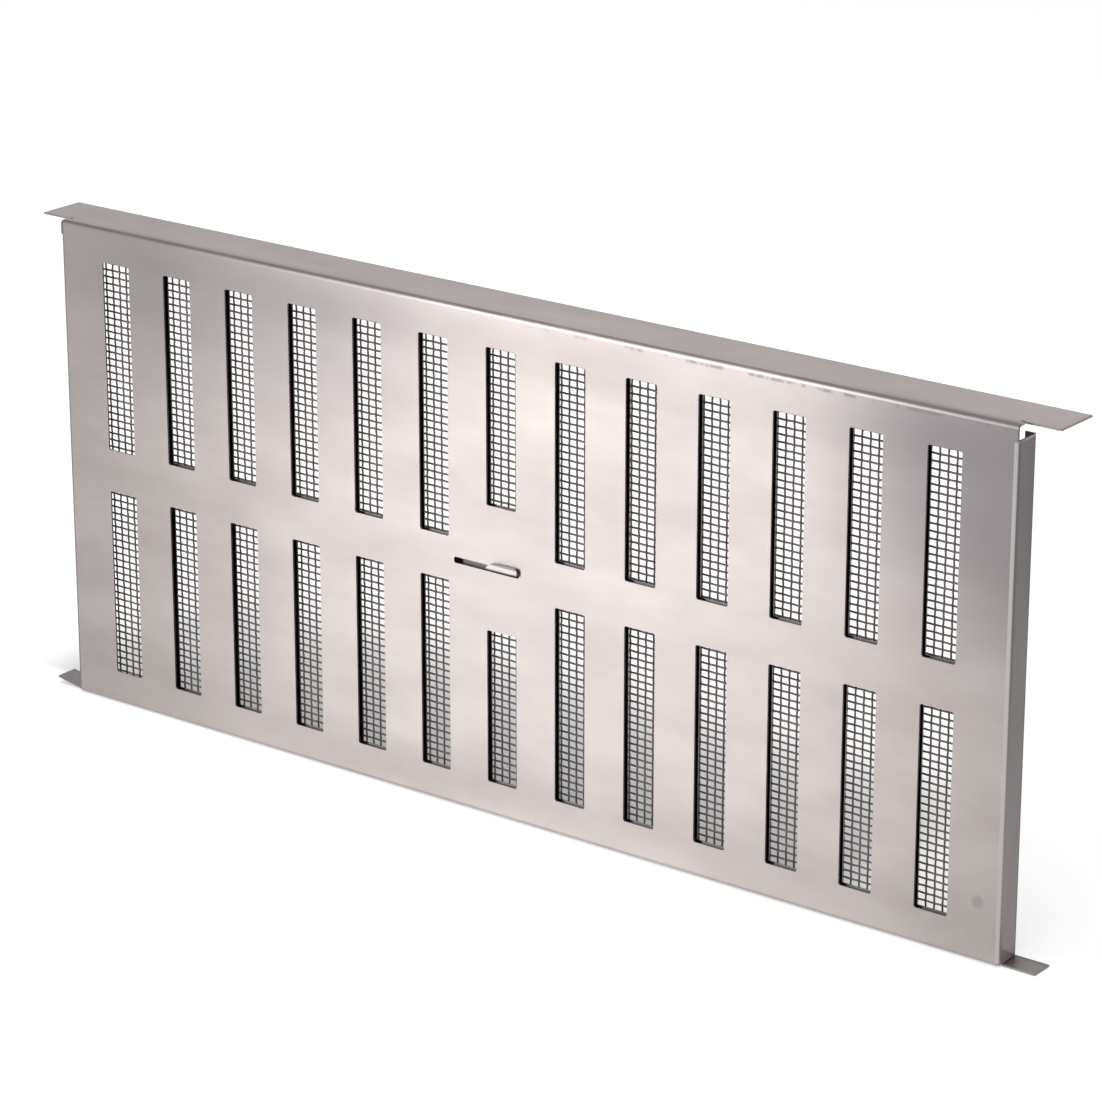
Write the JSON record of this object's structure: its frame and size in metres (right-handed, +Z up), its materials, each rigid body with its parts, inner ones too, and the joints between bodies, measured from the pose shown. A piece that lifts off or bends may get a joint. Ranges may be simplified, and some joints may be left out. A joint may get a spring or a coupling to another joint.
{
  "type": "foundation vent",
  "caption": "Slotted sheet-metal foundation vent with mortar flanges, a sliding damper plate and an insect screen behind the face.",
  "frame": {"origin": "on the underside of the bottom flange, at the middle of its length and of its depth", "axes": "+X along the face to the right as seen from in front, +Y back into the wall, +Z up"},
  "size_m": [0.4176, 0.0236, 0.1778],
  "materials": {
    "face_sheet": "mill finish, faintly grained, satin",
    "damper_sheet": "mill finish, satin",
    "screen_wire": "dull drawn wire"
  },
  "bodies": {
    "frame": {"face_frame": "face_sheet", "insect_screen": "screen_wire", "screen_left_edge": "screen_wire", "screen_right_edge": "screen_wire", "screen_bottom_edge": "screen_wire", "screen_top_edge": "screen_wire"},
    "damper": {"damper_plate": "damper_sheet"}
  },
  "joints": [
    {"name": "damper_slide", "type": "slide", "parent": "frame", "child": "damper", "axis": [1, 0, 0], "range_m": [-0.01425, 0]}
  ]
}
